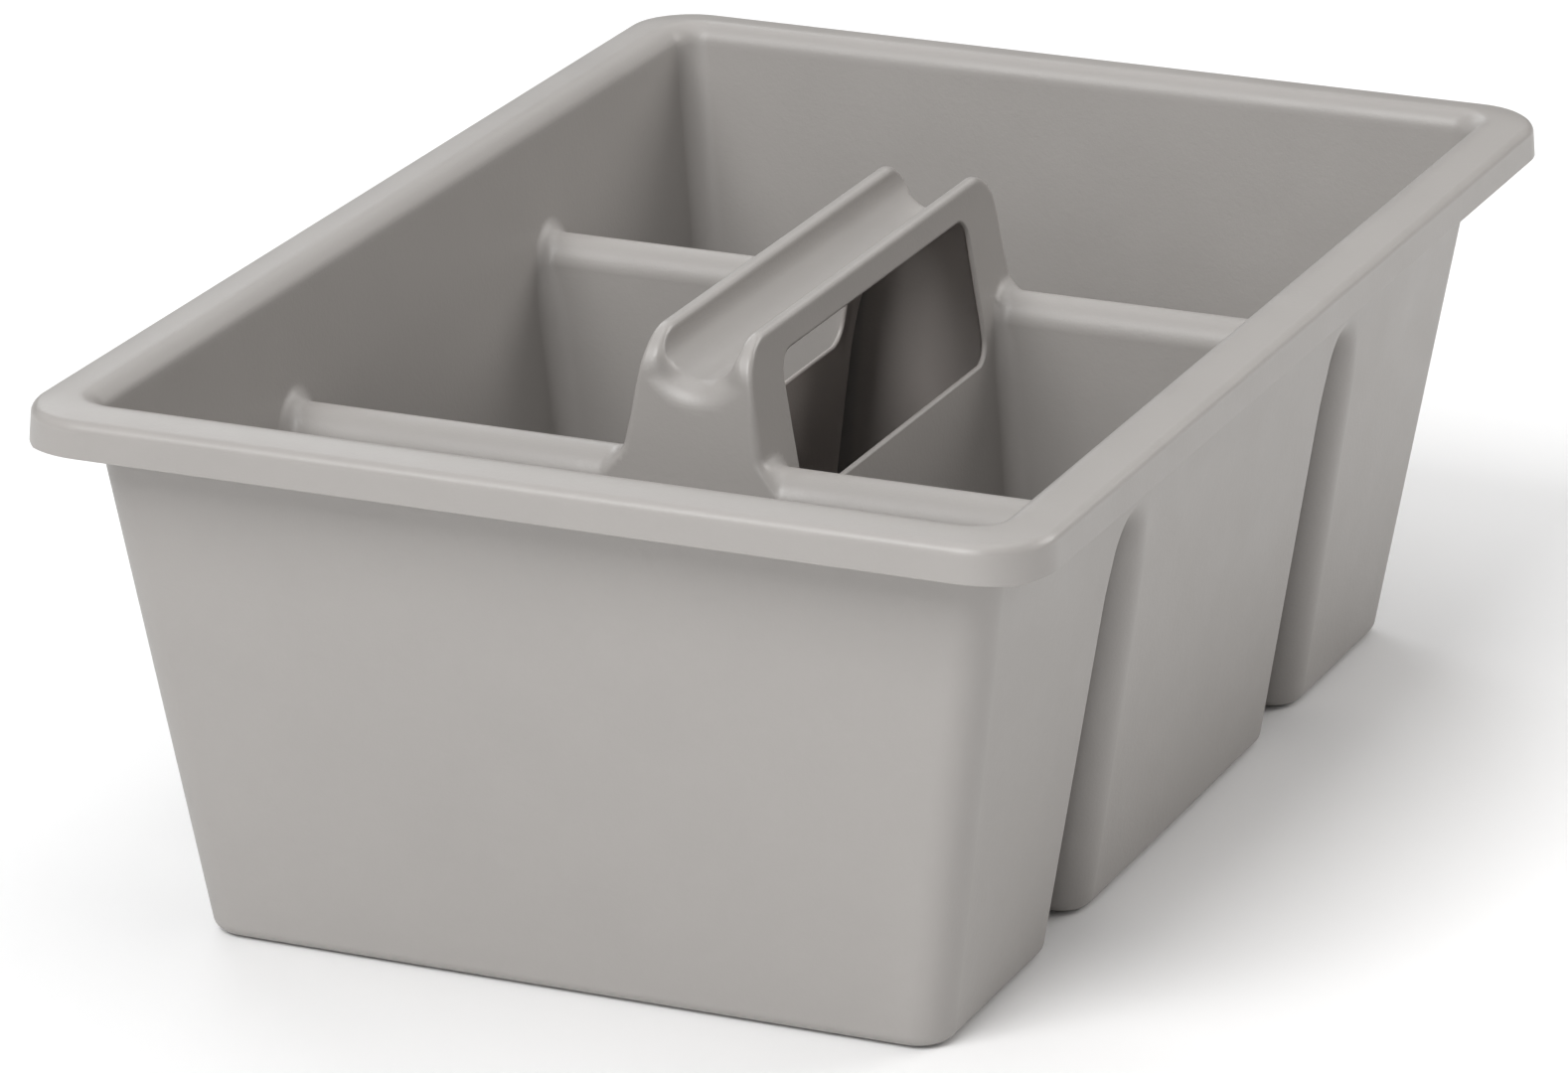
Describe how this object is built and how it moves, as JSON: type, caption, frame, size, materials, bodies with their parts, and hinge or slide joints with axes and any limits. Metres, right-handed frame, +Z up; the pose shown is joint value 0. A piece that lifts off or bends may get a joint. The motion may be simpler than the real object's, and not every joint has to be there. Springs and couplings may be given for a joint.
{
  "type": "cleaning caddy",
  "caption": "Open plastic carrier with tapered compartments, a rolled rim and a raised central carrying handle with a hand hole and a guttered top.",
  "frame": {"origin": "centre of the footprint on the resting plane, under the middle of the handle", "axes": "+Z up out of the compartments; +Y along the caddy's length and its handle, towards the rear compartment; +X across the width, towards the right middle compartment"},
  "size_m": [0.2512, 0.37, 0.1355],
  "materials": {
    "bin_plastic": "satin moulded polypropylene, warm light grey, fine spark-eroded grain",
    "rim_plastic": "satin moulded polypropylene, warm light grey, slightly polished along the edge",
    "handle_plastic": "satin moulded polypropylene, warm light grey, slightly polished by the hand on the lips"
  },
  "bodies": {
    "root": {"rim": "rim_plastic", "front_bin": "bin_plastic", "rear_bin": "bin_plastic", "left_bin": "bin_plastic", "right_bin": "bin_plastic", "front_left_divider_top": "bin_plastic", "front_right_divider_top": "bin_plastic", "rear_left_divider_top": "bin_plastic", "rear_right_divider_top": "bin_plastic", "handle_grip": "handle_plastic", "handle_front_post": "handle_plastic", "handle_rear_post": "handle_plastic"}
  },
  "joints": []
}
